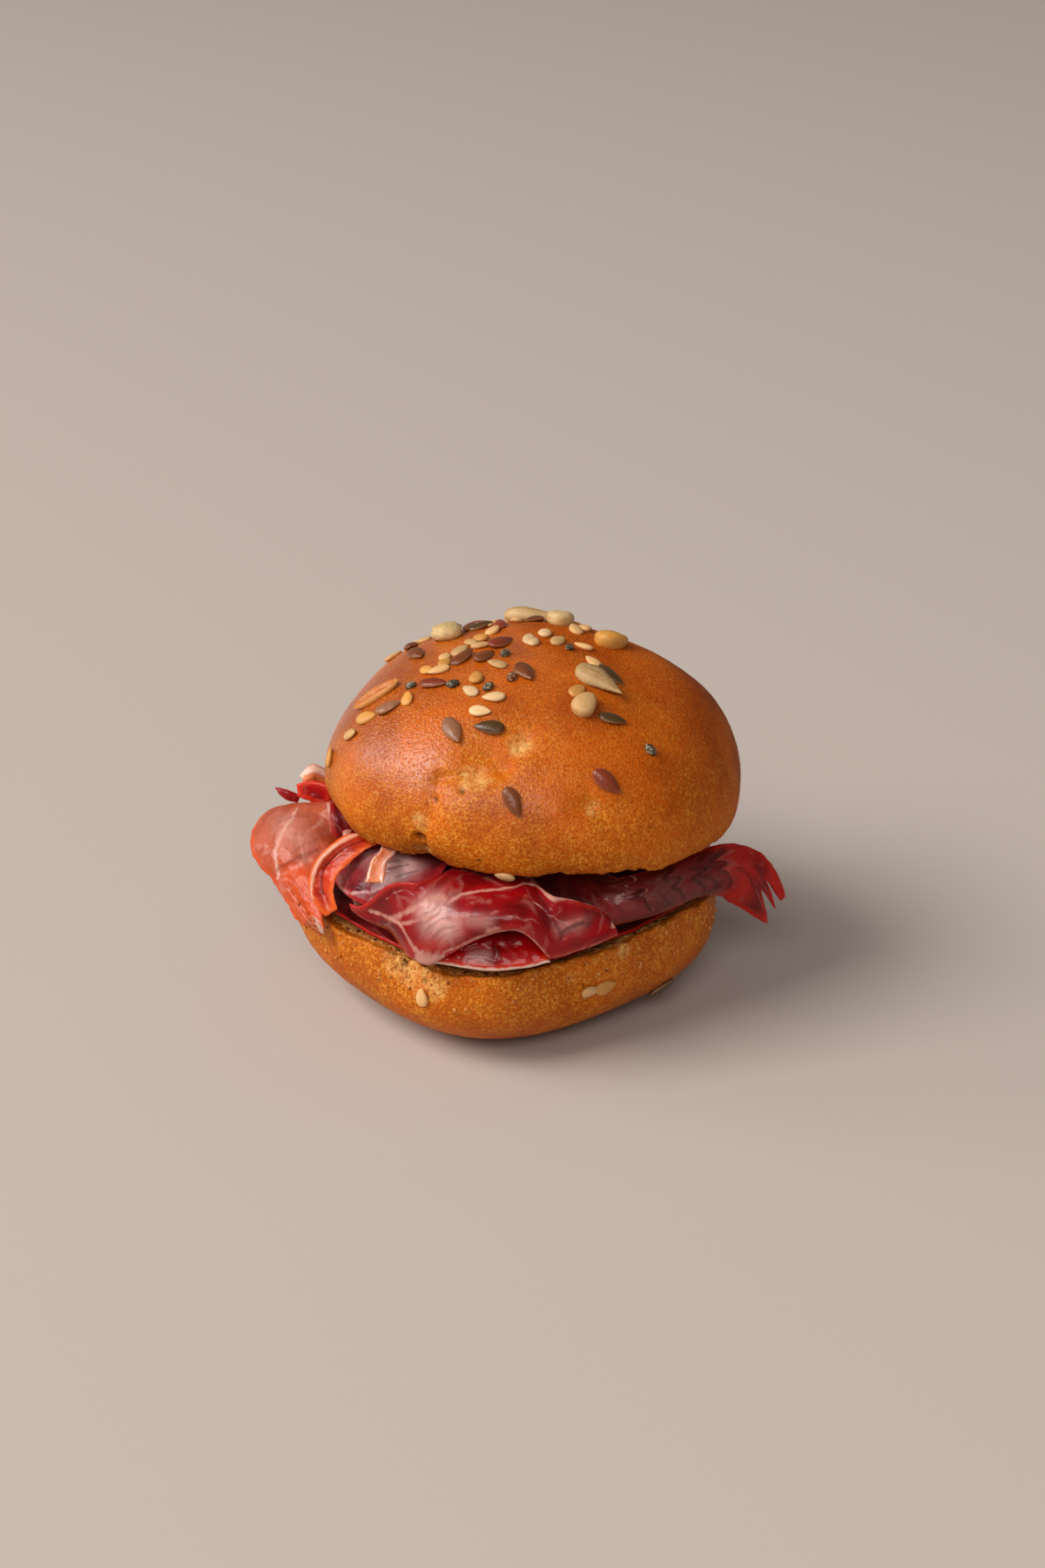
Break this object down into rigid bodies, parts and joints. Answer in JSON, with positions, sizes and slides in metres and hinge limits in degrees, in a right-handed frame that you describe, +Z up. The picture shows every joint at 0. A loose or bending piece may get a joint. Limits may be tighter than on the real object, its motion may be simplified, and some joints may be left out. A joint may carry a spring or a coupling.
{
  "type": "ham sandwich in a seeded brioche roll",
  "caption": "Small round seeded brioche roll, cut in two, with folded and hanging slices of cured ham between its halves.",
  "frame": {"origin": "middle of the flat foot under the lower half of the roll", "axes": "+Z up; the side that the picture shows faces -Y; +X to the picture's right, along the ham that sticks out"},
  "size_m": [0.0857, 0.07, 0.0574],
  "materials": {
    "brioche_crust": "baked crust with egg wash, satin, finely pebbled",
    "brioche_crumb": "open torn crumb, matte",
    "ham_red": "moist cured ham with pale fat veins",
    "ham_dark": "dark dried cured ham, satin",
    "ham_pale": "thin pink cured ham, lets light through",
    "ham_fat": "pale fat, waxy",
    "seeds": "dry seeds, satin"
  },
  "bodies": {
    "root": {"crown": "brioche_crust", "heel": "brioche_crust", "ham_base": "ham_dark", "ham_pocket": "ham_red", "ham_front": "ham_red", "ham_glossy": "ham_dark", "ham_ruffled": "ham_red", "ham_left": "ham_pale", "ham_ruffle": "ham_pale", "ham_right": "ham_dark", "ham_strip": "ham_fat", "ham_peak": "ham_red", "ham_sliver": "ham_dark", "ham_curl": "ham_fat"}
  },
  "joints": []
}
